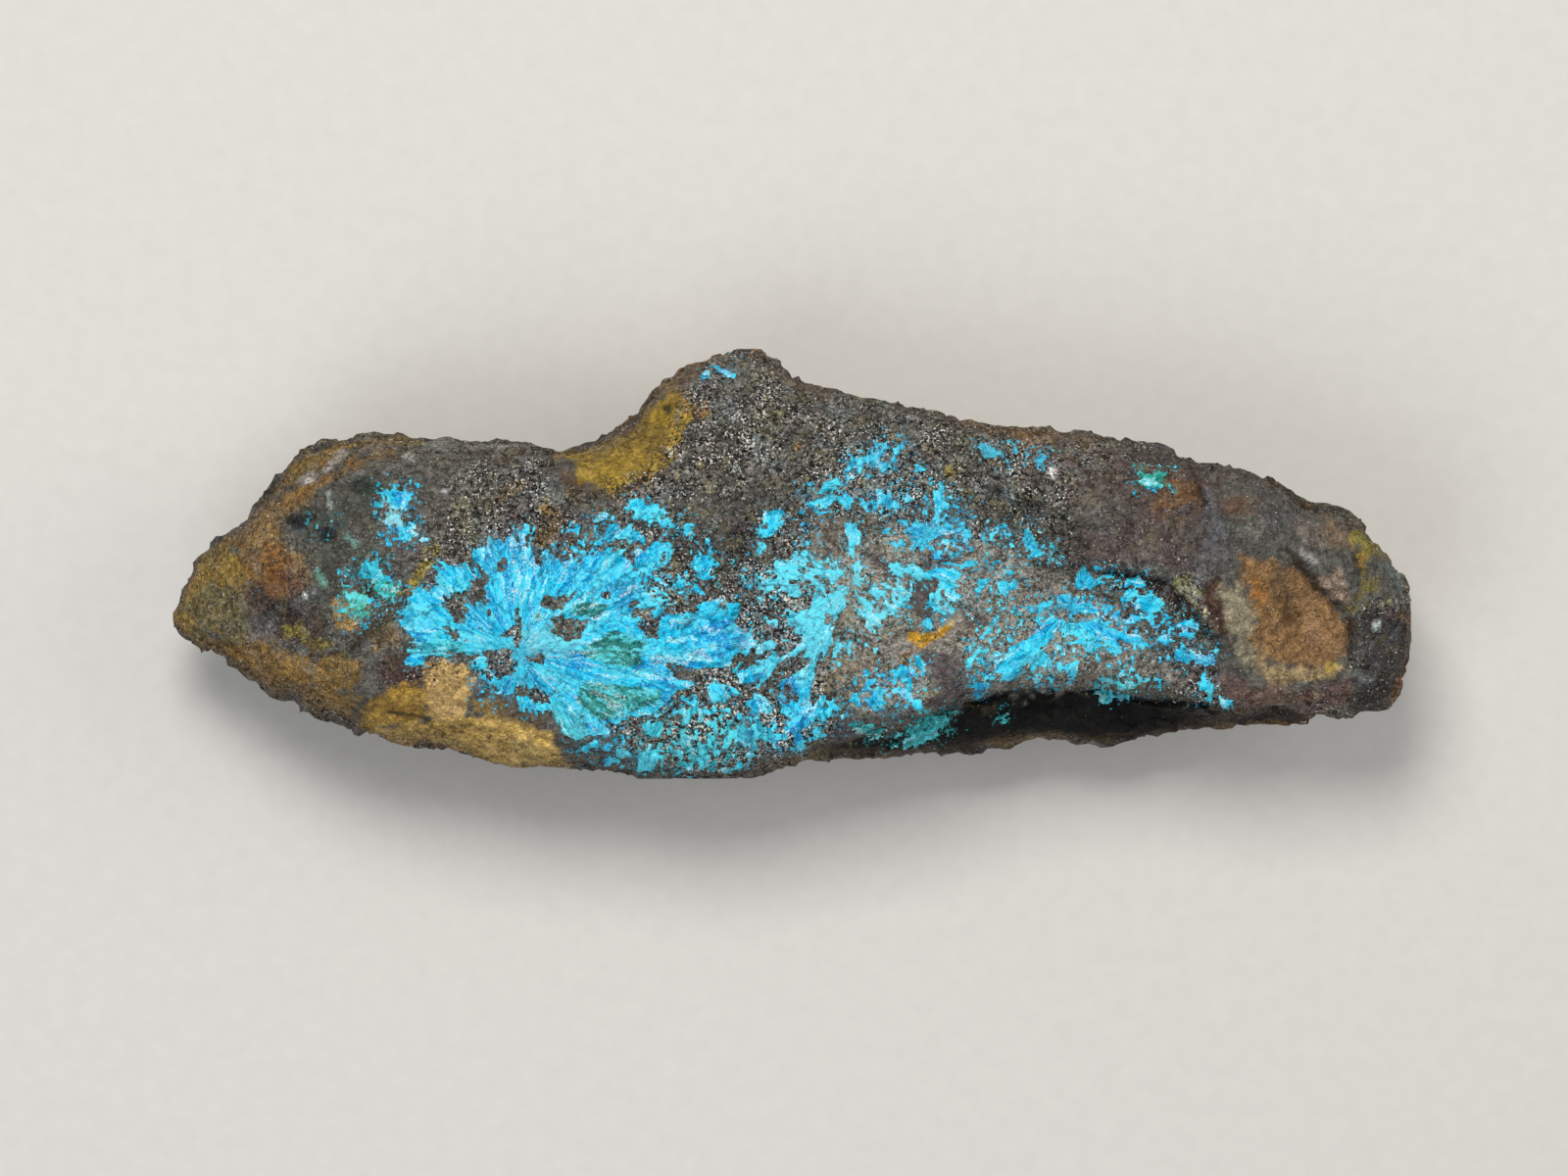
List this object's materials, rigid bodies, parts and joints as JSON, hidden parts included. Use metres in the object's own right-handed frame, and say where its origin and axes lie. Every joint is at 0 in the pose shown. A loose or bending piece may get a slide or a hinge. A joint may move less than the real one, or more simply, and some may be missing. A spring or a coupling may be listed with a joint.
{
  "type": "lavendulan mineral specimen",
  "caption": "Long slab of drusy, ochre-edged quartz rock lying on its back, with thin bright blue crusts of radiating lavendulan crystals on its face.",
  "frame": {"origin": "under the middle of the specimen's box, on the surface it lies on", "axes": "+X along the slab towards its broad east end, +Y across the face towards the peak, +Z out of the mineralised face"},
  "size_m": [0.08, 0.0278, 0.0167],
  "materials": {
    "drusy_rock": "rough, drusy, with ochre and sandy edges",
    "lavendulan": "silky, radiating fibrous crust"
  },
  "bodies": {
    "root": {"matrix": "drusy_rock", "crust_west_rosette": "lavendulan", "crust_south_laths": "lavendulan", "crust_middle_spray": "lavendulan", "crust_north_streak": "lavendulan", "crust_north_cluster": "lavendulan", "crust_north_star": "lavendulan", "crust_centre_laths": "lavendulan", "crust_east_patch": "lavendulan", "crust_east_chain": "lavendulan", "crust_northwest_fleck": "lavendulan", "crust_teal_fleck": "lavendulan"}
  },
  "joints": []
}
